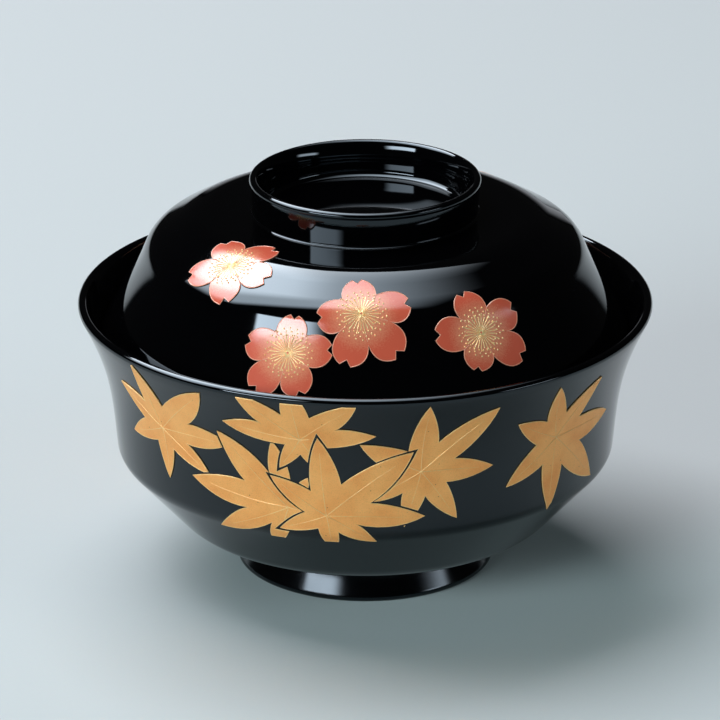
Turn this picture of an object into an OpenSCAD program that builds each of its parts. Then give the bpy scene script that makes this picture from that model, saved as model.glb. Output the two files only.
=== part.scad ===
// A turned lacquer soup bowl with its lid, in millimetres.
// Both are turned about Z. The bowl stands on its foot ring on Z = 0, and the side that
// carries most of the gold leaves and red blossoms faces -Y.

/* [Bowl] */
// Outside diameter of the rim
rim_d = 121; // [117:0.5:128]
// Height of the rim above the table
rim_h = 58.9; // [56:0.1:64]
// Thickness of the rounded lip
lip_t = 2; // [1.6:0.1:2.4]
// Lean of the wall from upright, just under the lip
flare_angle = 27; // [22:1:32]
// Outside diameter of the waist, where the wall turns in
waist_d = 105.2; // [102:0.1:110]
// Height of the waist
waist_h = 25.8; // [24:0.1:28]
// Lean of the wall from upright at the waist
waist_angle = 5; // [3:0.5:8]
// Thickness of the wall
wall_t = 3; // [2.6:0.1:3.4]
// Outside diameter of the soft edge under the bowl
belly_d = 77.8; // [74:0.1:82]
// Height of that soft edge
belly_h = 10.6; // [10:0.1:12]
// Thickness of the floor inside the foot ring
floor_t = 4; // [3:0.1:5]

/* [Foot ring] */
// Outside diameter of the foot ring at its widest, just over the table
foot_d = 54.6; // [50:0.1:58]
// Height of the foot ring
foot_h = 7.9; // [6.5:0.1:8.5]
// Lean of the foot ring from upright, outward to the table
foot_angle = 25; // [20:1:28]
// Thickness of the foot ring at the table
foot_t = 3.2; // [2.8:0.1:4]
// Depth of the recess inside the foot ring
foot_recess = 5; // [4:0.1:5.5]

/* [Lid] */
// Height above the table of the flat top that carries the grip ring
top_h = 77.8; // [76:0.1:80]
// Diameter at which the flat top turns down
crown_d = 72; // [68:0.1:75]
// Diameter of the shoulder
shoulder_d = 90.6; // [88:0.1:93]
// Height of the shoulder above the table
shoulder_h = 72.2; // [70:0.1:73]
// Lean of the skirt from upright, just under the shoulder
skirt_top_angle = 22; // [19:1:26]
// Lean of the skirt from upright at its edge
skirt_edge_angle = 29; // [25:1:32]
// Thickness of the lid
lid_t = 2.4; // [2:0.1:2.8]
// Thickness of the lid's rounded edge
edge_t = 2; // [1.6:0.1:2.4]
// How far under the rim's height the lid's edge rests inside the bowl
seat_depth = 6.4; // [5:0.1:9]
// Gap between the lid's edge and the bowl's wall
seat_gap = 0.15; // [0.1:0.05:0.4]

/* [Grip ring] */
// Outside diameter of the grip ring's rounded lip
ring_d = 48.5; // [44:0.1:52]
// Height of the grip ring over the flat top
ring_h = 7.6; // [6:0.1:9]
// Thickness of the grip ring's lip
ring_lip_t = 1.7; // [1.4:0.1:2.2]
// How far the lip stands out past the ring's wall
ring_overhang = 0.3; // [0.2:0.05:0.6]
// Lean of the ring's wall from upright, outward to the lip
ring_angle = 2.5; // [0:0.5:6]
// Radius where the ring's wall meets the flat top
ring_fillet = 0.5; // [0.3:0.1:1]
// Lean of the bore's wall from upright where it leaves the lip
bore_flare = 26; // [15:1:35]
// Radius of the curve that brings the bore's wall upright
bore_flare_r = 10; // [6:0.5:14]

/* [Gold leaves] */
// Longest lobe of a maple leaf, from its middle to its tip
leaf_reach = 23; // [19:0.5:24]
// Width of the black line where one leaf passes over another
leaf_gap = 0.5; // [0.3:0.05:0.8]

/* [Red blossoms] */
// Radius of a cherry blossom, to the tips of its petals
blossom_r = 9.8; // [8:0.1:10.5]
// Filaments in each blossom
filaments = 15; // [9:1:21]

/* [Raised lacquer] */
// Height that the raised decoration stands over the black lacquer
film_t = 0.2; // [0.15:0.01:0.3]

/* [Hidden] */
$fn = 96;
// Steps in each curve of a profile, in a soft corner and in a rounded edge
curve_steps = 12;
corner_steps = 5;
round_steps = 8;
// How deep the raised lacquer bites into what carries it
film_bite = 0.05;
// Length that the waist's and the belly's corners are softened over, on each side
waist_soft = 1.6;
belly_soft = 3.4;
// The same for the crown and the shoulder of the lid
crown_soft = 3.3;
shoulder_soft = 3;
// Slope of the flat top, from level, out to the crown
top_angle = 2;
// The same for the corner between the bowl and its foot ring
root_soft = 1;
// Radius of the foot ring's outer and inner edge, and inside both recesses
foot_edge_r = 0.9;
foot_inner_edge_r = 0.5;
recess_r = 1.5;
// Height at which the bowl's inner wall starts to turn in to the floor
turn_h = 30;
// Handles of the inner curve: down the wall, as a share of the drop, and along the floor, as a share of the radius
turn_share = 0.43;
sole_share = 0.76;

// Points are [distance from the axis, height]

// Direction that goes up and outward, leaning from upright
function lean(angle) = [sin(angle), cos(angle)];
// Unit vector from one point to another
function towards(a, b) = (b - a) / norm(b - a);
// The same turned a quarter turn clockwise
function beside(v) = [v[1], -v[0]];
// Points of an arc, ends included
function arc(middle, r, from, to, steps) =
    [for (i = [0:steps]) let (a = from + (to - from) * i / steps) middle + r * [cos(a), sin(a)]];
// Points of a cubic curve, ends included
function cubic(a, b, c, d, steps) =
    [for (i = [0:steps]) let (t = i / steps, s = 1 - t)
        s * s * s * a + 3 * s * s * t * b + 3 * s * t * t * c + t * t * t * d];
// Points of a curve between two points, with a direction and a share of the chord for each end
function curve(a, dir_a, share_a, b, dir_b, share_b, steps) =
    let (chord = norm(b - a)) cubic(a, a + share_a * chord * dir_a, b - share_b * chord * dir_b, b, steps);
// Points that soften the corner at b over a length on each side
function soft(a, b, c, length) =
    let (p = b + length * towards(b, a), q = b + length * towards(b, c))
        [for (i = [0:corner_steps]) let (t = i / corner_steps, s = 1 - t) s * s * p + 2 * s * t * b + t * t * q];
// A path moved sideways, to the right of its direction if the distance is positive
function moved(path, distance) =
    [for (i = [0:len(path) - 1])
        path[i] + distance * beside(towards(path[max(i - 1, 0)], path[min(i + 1, len(path) - 1)]))];
// Distance from the axis of a path at a height, and height of a path at a distance from the axis
function radius_at(path, h) = lookup(h, [for (p = path) [p[1], p[0]]]);
function height_at(path, r) = lookup(r, path);
function reversed(path) = [for (i = [len(path) - 1:-1:0]) path[i]];

// Bowl: the lip is a round bead, and the wall leaves it on the outside at the flare angle
lip_r = lip_t / 2;
lip_middle = [rim_d / 2 - lip_r, rim_h - lip_r];
lip_outer = lip_middle + lip_r * [cos(flare_angle), -sin(flare_angle)];
lip_inner = lip_middle - lip_r * [cos(flare_angle), -sin(flare_angle)];
waist = [waist_d / 2, waist_h];
belly = [belly_d / 2, belly_h];
foot_edge_middle = [foot_d / 2 - foot_edge_r, foot_edge_r];
foot_edge_top = foot_edge_middle + foot_edge_r * [cos(foot_angle), sin(foot_angle)];
foot_root = foot_edge_top + (foot_h - foot_edge_top[1]) * [-tan(foot_angle), 1];
wall_foot = waist + waist_soft * lean(waist_angle);
// Shares of the chord for the long, easy curve of the flared wall
flare_shares = [0.44, 0.38];
bowl_wall = curve(lip_outer, -lean(flare_angle), flare_shares[0], wall_foot, -lean(waist_angle),
    flare_shares[1], curve_steps);
bowl_under = concat(soft(wall_foot, waist, belly, waist_soft), soft(waist, belly, foot_root, belly_soft),
    soft(belly, foot_root, foot_edge_top, root_soft));
bowl_outer = concat(bowl_wall, [for (i = [1:len(bowl_under) - 1]) bowl_under[i]]);
// Inside, the wall keeps its thickness and then runs into the floor in one sweep
turn = [radius_at(bowl_wall, turn_h) - wall_t, turn_h];
sole_h = foot_recess + floor_t;
bowl_inner_wall = curve(lip_inner, -lean(flare_angle), flare_shares[0], turn, -lean(waist_angle),
    flare_shares[1], curve_steps);
bowl_floor = cubic(turn, turn - turn_share * (turn_h - sole_h) * lean(waist_angle),
    [sole_share * turn[0], sole_h], [0, sole_h], curve_steps);

module bowl() {
    // The recess has the foot ring's lean, and its wall meets its flat top in a round corner
    mouth_middle = [foot_d / 2 - foot_t + foot_inner_edge_r, foot_inner_edge_r];
    recess_top = foot_recess - recess_r;
    to_wall = foot_inner_edge_r + recess_r;
    recess_middle = [
        mouth_middle[0] - to_wall / cos(foot_angle) - (recess_top - mouth_middle[1]) * tan(foot_angle),
        recess_top
    ];
    profile = concat(
        reversed(bowl_floor),
        [for (i = [len(bowl_inner_wall) - 2:-1:1]) bowl_inner_wall[i]],
        arc(lip_middle, lip_r, 180 - flare_angle, -flare_angle, round_steps),
        [for (i = [1:len(bowl_outer) - 1]) bowl_outer[i]],
        arc(foot_edge_middle, foot_edge_r, foot_angle, -90, corner_steps),
        arc(mouth_middle, foot_inner_edge_r, -90, foot_angle - 180, corner_steps),
        arc(recess_middle, recess_r, foot_angle, 90, corner_steps),
        [[0, foot_recess]]
    );
    color("#15181a") rotate_extrude() polygon(profile);
}

// Lid: a flat top, a cone down to the shoulder, and a skirt whose edge rests inside the bowl's wall
edge_r = edge_t / 2;
seat_h = rim_h - seat_depth;
// How much the wall widens with its height at the seat, for the gap is measured square to the leaning wall
seat_widening = (radius_at(bowl_inner_wall, seat_h + edge_r) - radius_at(bowl_inner_wall, seat_h - edge_r)) / edge_t;
edge_middle = [radius_at(bowl_inner_wall, seat_h) - (edge_r + seat_gap) * norm([1, seat_widening]), seat_h];
edge_outer = edge_middle + edge_r * [cos(skirt_edge_angle), sin(skirt_edge_angle)];
// The ring's bead meets the outer wall where it has curled in past the overhang
ring_bead_r = ring_lip_t / 2;
bead_middle = [ring_d / 2 - ring_bead_r, top_h + ring_h - ring_bead_r];
tuck_angle = acos((ring_bead_r - ring_overhang) / ring_bead_r);
tuck = bead_middle + ring_bead_r * [cos(tuck_angle), -sin(tuck_angle)];
root_h = top_h + ring_fillet;
root_middle = [tuck[0] - (tuck[1] - root_h) * tan(ring_angle) + ring_fillet / cos(ring_angle), root_h];
top_start = [root_middle[0], top_h];
crown = [crown_d / 2, top_h - tan(top_angle) * (crown_d / 2 - top_start[0])];
shoulder = [shoulder_d / 2, shoulder_h];
below_shoulder = shoulder - shoulder_soft * [-sin(skirt_top_angle), cos(skirt_top_angle)];
// Shares of the chord for the skirt's curve
skirt_shares = [0.3, 0.4];
lid_top = concat([top_start], soft(top_start, crown, shoulder, crown_soft),
    soft(crown, shoulder, below_shoulder, shoulder_soft));
lid_skirt = curve(below_shoulder, [sin(skirt_top_angle), -cos(skirt_top_angle)], skirt_shares[0],
    edge_outer, [sin(skirt_edge_angle), -cos(skirt_edge_angle)], skirt_shares[1], curve_steps);
lid_outer = concat(lid_top, [for (i = [1:len(lid_skirt) - 1]) lid_skirt[i]]);
// Inside, the lid keeps its thickness, and the skirt thins to the rounded edge over twice that length
lid_inside = [for (p = moved(lid_outer, lid_t)) if (p[1] > seat_h + 2 * lid_t) p];

module lid() {
    flare_middle = bead_middle + (bore_flare_r - ring_bead_r) * [cos(bore_flare), -sin(bore_flare)];
    bore_r = flare_middle[0] - bore_flare_r;
    profile = concat(
        [[0, top_h]],
        arc([bore_r - recess_r, top_h + recess_r], recess_r, -90, 0, corner_steps),
        arc(flare_middle, bore_flare_r, 180, 180 - bore_flare, corner_steps),
        arc(bead_middle, ring_bead_r, 180 - bore_flare - 180 / round_steps, -tuck_angle, round_steps),
        arc(root_middle, ring_fillet, 180 - ring_angle, 270, corner_steps),
        [for (i = [1:len(lid_outer) - 1]) lid_outer[i]],
        arc(edge_middle, edge_r, skirt_edge_angle - 180 / round_steps, skirt_edge_angle - 180, round_steps),
        reversed(lid_inside),
        [[0, top_h - lid_t]]
    );
    color("#0b0c0d") rotate_extrude() polygon(profile);
}

// Raised lacquer: a thin skin that follows a path round the bowl or the lid, from one depth to another
module skin(path, from, to) {
    rotate_extrude() polygon(concat(moved(path, from), reversed(moved(path, to))));
}

// The leaves keep to a band from just under the lip to the lower end of the waist's soft corner
leaf_band = [for (p = bowl_outer) if (p[1] > waist_h - waist_soft) p];

// Maple leaf: seven lobes, each with a direction and a reach, joined at notches
// Depth of a notch as a share of the shorter lobe, and what it loses for each degree between the lobes
notch_share = 0.62;
notch_loss_share = 0.0035;
// How far along a lobe its sides bulge, and how wide, as shares of its reach
bulge_along_share = 0.7;
bulge_wide_share = 0.165;
// Sides of a lobe are drawn in this many steps
lobe_steps = 3;

function on_ray(angle, along, aside) =
    [along * cos(angle) - aside * sin(angle), along * sin(angle) + aside * cos(angle)];
function side(from, bulge, to, steps) =
    [for (i = [1:steps]) let (t = i / steps, s = 1 - t) s * s * from + 2 * s * t * bulge + t * t * to];
function leaf_outline(lobe_shares, grow) =
    let (n = len(lobe_shares))
    [for (i = [0:n - 1])
        let (
            angle = lobe_shares[i][0],
            reach = lobe_shares[i][1] * leaf_reach,
            before = lobe_shares[(i + n - 1) % n],
            after = lobe_shares[(i + 1) % n],
            gap_before = (angle - before[0] + 720) % 360,
            gap_after = (after[0] - angle + 720) % 360,
            notch_before = (notch_share - notch_loss_share * min(gap_before, 90))
                * min(before[1] * leaf_reach, reach) + grow,
            notch_after = (notch_share - notch_loss_share * min(gap_after, 90))
                * min(after[1] * leaf_reach, reach) + grow,
            low = notch_before * [cos(angle - gap_before / 2), sin(angle - gap_before / 2)],
            high = notch_after * [cos(angle + gap_after / 2), sin(angle + gap_after / 2)],
            tip = on_ray(angle, reach + 2 * grow, 0),
            bulge = bulge_wide_share * reach + grow
        )
        each concat(
            side(low, on_ray(angle, bulge_along_share * reach, -bulge), tip, lobe_steps),
            side(tip, on_ray(angle, bulge_along_share * reach, bulge), high, lobe_steps)
        )
    ];

// Leaves from the lowest to the one on top: angle round the bowl from the front, height of the leaf's
// middle as a share of the rim's height, and its lobes as [direction, reach as a share of leaf_reach]
leaf_shares = [
    [-49, 0.735, [[-159, 0.57], [-90, 0.5], [-32, 0.6], [4, 0.8], [40, 0.88], [103, 0.64], [150, 0.61]]],
    [45.5, 0.715, [[-145, 0.63], [-89, 0.73], [-43, 0.9], [-1, 0.84], [46, 0.67], [105, 0.59], [152, 0.58]]],
    [12, 0.69, [[-151, 0.6], [-104, 0.56], [-56, 0.61], [-3, 0.67], [41, 0.9], [88, 0.71], [151, 0.63]]],
    [-17, 0.54, [[-155, 0.76], [-111, 0.5], [-10, 0.4], [58, 0.38], [100, 0.68], [134, 0.93], [173, 0.96]]],
    [-13.5, 0.82, [[-123, 0.38], [-62, 0.4], [6, 0.67], [38, 0.69], [95, 0.65], [142, 0.72], [173, 0.72]]],
    [-8.5, 0.52, [[-159, 0.45], [-82, 0.42], [-31, 0.5], [-1, 0.85], [40, 1], [94, 0.8], [145, 0.61]]],
    [122, 0.7, [[-150, 0.6], [-95, 0.6], [-45, 0.8], [0, 0.85], [45, 0.8], [98, 0.6], [150, 0.58]]],
    [218, 0.56, [[-158, 0.75], [-112, 0.5], [-40, 0.55], [10, 0.7], [62, 0.8], [110, 0.9], [160, 0.85]]],
    [236, 0.78, [[-140, 0.5], [-70, 0.5], [-15, 0.8], [32, 0.85], [85, 0.7], [135, 0.65], [178, 0.7]]]
];
// Two leaves are tested for an overlap if they lie this close round the bowl, in degrees
leaf_neighbour = 50;

// Extrudes an outline from the axis out through the wall, at an angle round the bowl and a height
module through_wall(angle, h) {
    rotate([0, 0, angle]) translate([0, 0, h]) rotate([90, 0, 0]) linear_extrude(rim_d) children();
}

module maple_leaves() {
    color("#d9a45c")
        for (i = [0:len(leaf_shares) - 1])
            difference() {
                intersection() {
                    skin(leaf_band, film_bite, -film_t);
                    through_wall(leaf_shares[i][0], leaf_shares[i][1] * rim_h)
                        polygon(leaf_outline(leaf_shares[i][2], 0));
                }
                for (j = [i + 1:1:len(leaf_shares) - 1])
                    if (abs(leaf_shares[j][0] - leaf_shares[i][0]) < leaf_neighbour)
                        through_wall(leaf_shares[j][0], leaf_shares[j][1] * rim_h)
                            polygon(leaf_outline(leaf_shares[j][2], leaf_gap));
            }
}

// Cherry blossom: five petals with a notched tip
petal_steps = 4;
// Radius where two petals meet and of the notch in a tip, as shares of the petals' reach, and of the middle
// disc, as a share of blossom_r
valley_share = 0.57;
tip_notch_share = 0.885;
disc_share = 0.1;
// Half of the angle between the two points of a tip
tip_half_angle = 6.5;
// Where the side of a petal bulges, along it and aside, as shares of its reach
petal_bulge_shares = [0.84, 0.45];

function blossom_outline(petal_shares) =
    let (n = len(petal_shares))
    [for (i = [0:n - 1])
        let (
            angle = petal_shares[i][0],
            reach = petal_shares[i][1] * blossom_r,
            before = petal_shares[(i + n - 1) % n],
            after = petal_shares[(i + 1) % n],
            half_before = (angle - before[0] + 360) % 360 / 2,
            half_after = (after[0] - angle + 360) % 360 / 2,
            valley_before = valley_share * (reach + before[1] * blossom_r) / 2,
            valley_after = valley_share * (reach + after[1] * blossom_r) / 2,
            along = petal_bulge_shares[0] * reach,
            aside = petal_bulge_shares[1] * reach,
            tip_low = on_ray(angle - tip_half_angle, reach, 0),
            tip_high = on_ray(angle + tip_half_angle, reach, 0)
        )
        each concat(
            side(on_ray(angle - half_before, valley_before, 0), on_ray(angle, along, -aside), tip_low, petal_steps),
            [on_ray(angle, tip_notch_share * reach, 0), tip_high],
            side(tip_high, on_ray(angle, along, aside), on_ray(angle + half_after, valley_after, 0), petal_steps)
        )
    ];

// Filaments end in anthers, which lie on two circles in turn, as shares of blossom_r
anther_shares = [0.5, 0.42];
filament_w = 0.26;
anther_w = 0.55;
function filament(i) =
    let (
        angle = 360 / filaments * i,
        reach = anther_shares[i % 2] * blossom_r,
        neck = reach - anther_w
    )
    [
        blossom_r * disc_share * [cos(angle - 180 / filaments), sin(angle - 180 / filaments)],
        on_ray(angle, blossom_r * disc_share + filament_w, -filament_w / 2),
        on_ray(angle, neck, -filament_w / 2),
        on_ray(angle, (neck + reach) / 2, -anther_w / 2),
        on_ray(angle, reach, 0),
        on_ray(angle, (neck + reach) / 2, anther_w / 2),
        on_ray(angle, neck, filament_w / 2),
        on_ray(angle, blossom_r * disc_share + filament_w, filament_w / 2)
    ];
function stamen_outline() = [for (i = [0:filaments - 1]) each filament(i)];

// Blossoms: angle round the lid from the front, distance of the middle from the axis as a share of the
// shoulder's radius, direction that the blossom faces, up from level, and its petals as
// [direction, reach as a share of blossom_r]
blossom_shares = [
    [-44.2, 0.865, 60, [[0, 1.04], [66, 1], [142, 0.94], [214, 0.99], [299, 0.96]]],
    [-18.5, 1.085, 28, [[11, 0.93], [87, 0.79], [170, 0.96], [233, 1.06], [296, 0.94]]],
    [-1, 0.995, 48, [[16, 1.03], [97, 0.84], [184, 0.91], [252, 1.06], [316, 1.12]]],
    [29.3, 1.056, 30, [[23, 1], [103, 0.91], [172, 1.02], [250, 0.81], [324, 1.1]]],
    [150, 0.98, 48, [[18, 1], [90, 0.9], [162, 0.95], [234, 1.05], [306, 1.05]]],
    [178, 0.87, 60, [[50, 1], [122, 1], [194, 1], [266, 1], [338, 1]]],
    [203, 1.07, 28, [[20, 0.95], [92, 0.8], [164, 0.95], [236, 1.05], [308, 1.05]]]
];

// Extrudes an outline through the lid's shell along the direction that a blossom faces
module through_lid(place) {
    r = place[1] * shoulder[0];
    rotate([0, 0, place[0]])
        translate([0, -r, height_at(lid_outer, r)])
            rotate([90 - place[2], 0, 0])
                linear_extrude(2 * blossom_r, center = true) children();
}

module cherry_petals() {
    color("#d9776a")
        for (place = blossom_shares)
            intersection() {
                skin(lid_outer, film_bite, -film_t);
                through_lid(place) polygon(blossom_outline(place[3]));
            }
}

module cherry_stamens() {
    color("#ecd9a0")
        for (place = blossom_shares)
            intersection() {
                skin(lid_outer, film_bite - film_t, -2 * film_t);
                through_lid(place) polygon(stamen_outline());
            }
}

bowl();
lid();
maple_leaves();
cherry_petals();
cherry_stamens();
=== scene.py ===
"""Dresses the packed soup bowl: turned lacquer shells, gold maple leaves, red blossoms and the stage.

Everything is in metres, in the frame of the packed part. The bowl and lid are turned about Z, and the
side that carries most of the leaves and blossoms faces -Y.
"""

import math
from bisect import bisect_left

import bmesh
import bpy
from mathutils import Matrix, Vector
from mathutils.geometry import interpolate_bezier
from mathutils.noise import noise_vector


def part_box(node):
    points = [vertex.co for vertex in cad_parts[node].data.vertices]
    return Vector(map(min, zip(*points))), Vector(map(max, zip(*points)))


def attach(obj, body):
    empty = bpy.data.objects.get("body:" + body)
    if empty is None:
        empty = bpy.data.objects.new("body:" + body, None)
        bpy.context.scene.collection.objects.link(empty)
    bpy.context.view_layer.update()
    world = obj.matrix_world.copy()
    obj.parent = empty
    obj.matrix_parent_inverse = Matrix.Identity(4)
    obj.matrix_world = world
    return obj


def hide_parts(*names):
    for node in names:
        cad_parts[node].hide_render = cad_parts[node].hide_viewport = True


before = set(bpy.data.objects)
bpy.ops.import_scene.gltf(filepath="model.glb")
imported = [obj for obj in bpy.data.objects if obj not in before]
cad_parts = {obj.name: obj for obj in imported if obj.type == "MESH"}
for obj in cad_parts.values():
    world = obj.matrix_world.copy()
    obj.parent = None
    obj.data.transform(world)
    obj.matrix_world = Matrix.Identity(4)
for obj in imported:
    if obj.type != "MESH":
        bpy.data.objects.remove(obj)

bl_info = {
    "name": "Lacquer soup bowl",
    "version": (1, 0, 0),
    "blender": (4, 5, 0),
    "location": "3D View > Sidebar > Soup bowl",
    "description": "Turns, lacquers and decorates a lidded soup bowl and sets its stage",
    "category": "Add Mesh",
}

MM = 0.001
TURN = 2 * math.pi
BOWL_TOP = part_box("bowl")[1].z
LID_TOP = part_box("lid")[1].z

# Leaves from the lowest to the one on top: angle round the bowl from the front in degrees, height of the
# leaf's middle as a share of the rim's height, and lobes as (direction in degrees, share of the reach)
LEAVES = (
    (-49, 0.735, ((-159, 0.57), (-90, 0.5), (-32, 0.6), (4, 0.8), (40, 0.88), (103, 0.64), (150, 0.61))),
    (45.5, 0.715, ((-145, 0.63), (-89, 0.73), (-43, 0.9), (-1, 0.84), (46, 0.67), (105, 0.59), (152, 0.58))),
    (12, 0.69, ((-151, 0.6), (-104, 0.56), (-56, 0.61), (-3, 0.67), (41, 0.9), (88, 0.71), (151, 0.63))),
    (-17, 0.54, ((-155, 0.76), (-111, 0.5), (-10, 0.4), (58, 0.38), (100, 0.68), (134, 0.93), (173, 0.96))),
    (-13.5, 0.82, ((-123, 0.38), (-62, 0.4), (6, 0.67), (38, 0.69), (95, 0.65), (142, 0.72), (173, 0.72))),
    (-8.5, 0.52, ((-159, 0.45), (-82, 0.42), (-31, 0.5), (-1, 0.85), (40, 1), (94, 0.8), (145, 0.61))),
    (122, 0.7, ((-150, 0.6), (-95, 0.6), (-45, 0.8), (0, 0.85), (45, 0.8), (98, 0.6), (150, 0.58))),
    (218, 0.56, ((-158, 0.75), (-112, 0.5), (-40, 0.55), (10, 0.7), (62, 0.8), (110, 0.9), (160, 0.85))),
    (236, 0.78, ((-140, 0.5), (-70, 0.5), (-15, 0.8), (32, 0.85), (85, 0.7), (135, 0.65), (178, 0.7))),
)
# Blossoms: angle round the lid from the front, distance of the middle from the axis as a share of the
# shoulder's radius, direction that the blossom faces, up from level, and petals as (direction, share of reach)
BLOSSOMS = (
    (-44.2, 0.865, 60, ((0, 1.04), (66, 1), (142, 0.94), (214, 0.99), (299, 0.96))),
    (-18.5, 1.085, 28, ((11, 0.93), (87, 0.79), (170, 0.96), (233, 1.06), (296, 0.94))),
    (-1, 0.995, 48, ((16, 1.03), (97, 0.84), (184, 0.91), (252, 1.06), (316, 1.12))),
    (29.3, 1.056, 30, ((23, 1), (103, 0.91), (172, 1.02), (250, 0.81), (324, 1.1))),
    (150, 0.98, 48, ((18, 1), (90, 0.9), (162, 0.95), (234, 1.05), (306, 1.05))),
    (178, 0.87, 60, ((50, 1), (122, 1), (194, 1), (266, 1), (338, 1))),
    (203, 1.07, 28, ((20, 0.95), (92, 0.8), (164, 0.95), (236, 1.05), (308, 1.05))),
)


# Properties that a user can change

def length(name, description, mm):
    """A length property, given in millimetres."""
    return bpy.props.FloatProperty(
        name=name, description=description, default=mm * MM, min=0, precision=5, subtype="DISTANCE", unit="LENGTH")


def angle(name, description, degrees):
    """An angle property, given in degrees."""
    return bpy.props.FloatProperty(
        name=name, description=description, default=math.radians(degrees), subtype="ANGLE", unit="ROTATION")


def share(name, description, default):
    """A plain share of another size."""
    return bpy.props.FloatProperty(name=name, description=description, default=default, subtype="FACTOR")


def count(name, description, default):
    """A whole number of steps or pieces."""
    return bpy.props.IntProperty(name=name, description=description, default=default, min=1)


def linear(hex_text):
    """An sRGB hex colour as a linear one."""
    parts = [int(hex_text[i:i + 2], 16) / 255 for i in (0, 2, 4)]
    return tuple(p / 12.92 if p <= 0.04045 else ((p + 0.055) / 1.055) ** 2.4 for p in parts) + (1,)


def colour(name, description, hex_text):
    """A colour property, given as sRGB hex."""
    return bpy.props.FloatVectorProperty(
        name=name, description=description, default=linear(hex_text), size=4, min=0, max=1, subtype="COLOR")


class BowlSizes(bpy.types.PropertyGroup):
    """Sizes of the bowl and its foot ring."""

    rim_d: length("Rim", "Outside diameter of the rim", 121)
    rim_h: length("Rim height", "Height of the rim above the table", BOWL_TOP / MM)
    lip_t: length("Lip", "Thickness of the rounded lip", 2)
    flare_angle: angle("Flare", "Lean of the wall from upright just under the lip", 27)
    waist_d: length("Waist", "Outside diameter where the wall turns in", 105.2)
    waist_h: length("Waist height", "Height of the waist", 25.8)
    waist_angle: angle("Waist lean", "Lean of the wall from upright at the waist", 5)
    waist_soft: length("Waist corner", "Length that the waist's corner is softened over, on each side", 1.6)
    wall_t: length("Wall", "Thickness of the wall", 3)
    belly_d: length("Belly", "Outside diameter of the soft edge under the bowl", 77.8)
    belly_h: length("Belly height", "Height of that soft edge", 10.6)
    belly_soft: length("Belly corner", "Length that the belly's corner is softened over, on each side", 3.4)
    floor_t: length("Floor", "Thickness of the floor inside the foot ring", 4)
    foot_d: length("Foot ring", "Outside diameter of the foot ring at its widest", 54.6)
    foot_h: length("Foot ring height", "Height of the foot ring", 7.9)
    foot_angle: angle("Foot ring lean", "Lean of the foot ring from upright, outward to the table", 25)
    foot_t: length("Foot ring wall", "Thickness of the foot ring at the table", 3.2)
    foot_recess: length("Recess", "Depth of the recess inside the foot ring", 5)
    foot_edge_r: length("Outer edge", "Radius of the foot ring's outer edge", 0.9)
    foot_inner_edge_r: length("Inner edge", "Radius of the foot ring's inner edge", 0.5)
    root_soft: length("Root corner", "Length that the foot ring's root is softened over, on each side", 1)
    recess_r: length("Recess corner", "Radius inside the recess", 1.5)
    turn_h: length("Inner turn", "Height at which the inner wall starts to turn in to the floor", 30)


class LidSizes(bpy.types.PropertyGroup):
    """Sizes of the lid and its grip ring."""

    top_h: length("Top", "Height of the flat top above the table", 77.8)
    top_angle: angle("Top slope", "Slope of the flat top from level, out to the crown", 2)
    crown_d: length("Crown", "Diameter at which the flat top turns down", 72)
    crown_soft: length("Crown corner", "Length that the crown's corner is softened over, on each side", 3.3)
    shoulder_d: length("Shoulder", "Diameter of the shoulder", 90.6)
    shoulder_h: length("Shoulder height", "Height of the shoulder above the table", 72.2)
    shoulder_soft: length("Shoulder corner", "Length that the shoulder's corner is softened over, on each side", 3)
    skirt_top_angle: angle("Skirt lean", "Lean of the skirt from upright just under the shoulder", 22)
    skirt_edge_angle: angle("Edge lean", "Lean of the skirt from upright at its edge", 29)
    lid_t: length("Thickness", "Thickness of the lid", 2.4)
    edge_t: length("Edge", "Thickness of the lid's rounded edge", 2)
    seat_depth: length("Seat", "How far under the rim's height the lid's edge rests inside the bowl", 6.4)
    seat_gap: length("Seat gap", "Gap between the lid's edge and the bowl's wall", 0.15)
    ring_d: length("Grip ring", "Outside diameter of the grip ring's lip", 48.5)
    ring_h: length("Grip ring height", "Height of the grip ring over the flat top", LID_TOP / MM - 77.8)
    ring_lip_t: length("Grip ring lip", "Thickness of the grip ring's lip", 1.7)
    ring_overhang: length("Lip overhang", "How far the lip stands out past the ring's wall", 0.3)
    ring_angle: angle("Ring lean", "Lean of the ring's wall from upright, outward to the lip", 2.5)
    ring_fillet: length("Ring root", "Radius where the ring's wall meets the flat top", 0.5)
    bore_flare: angle("Bore flare", "Lean of the bore's wall from upright where it leaves the lip", 26)
    bore_flare_r: length("Bore curve", "Radius of the curve that brings the bore's wall upright", 10)
    bore_r: length("Bore corner", "Radius inside the grip ring's bore", 1.5)


class DecorSizes(bpy.types.PropertyGroup):
    """Sizes of the raised leaves and blossoms."""

    leaf_reach: length("Leaf", "Longest lobe of a leaf, from its middle to its tip", 23)
    leaf_gap: length("Leaf gap", "Width of the black line where one leaf passes over another", 0.5)
    band_top: length("Band top", "How far under the rim's height the leaves end", 1.5)
    band_low: length("Band foot", "Height at which the leaves end over the waist", 24.4)
    blossom_r: length("Blossom", "Radius of a blossom to the tips of its petals", 9.8)
    film_t: length("Film", "Height that the raised lacquer stands over the black", 0.2)
    film_bite: length("Bite", "How deep the raised lacquer bites into what carries it", 0.05)
    line_r: length("Line", "Radius of the drawn outlines and veins", 0.11)
    filaments: count("Filaments", "Filaments in each blossom", 28)
    anthers: count("Anthers", "Anthers in each of the three circles of a blossom", 22)
    anther_r: length("Anther", "Radius of an anther's dot", 0.18)


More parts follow.
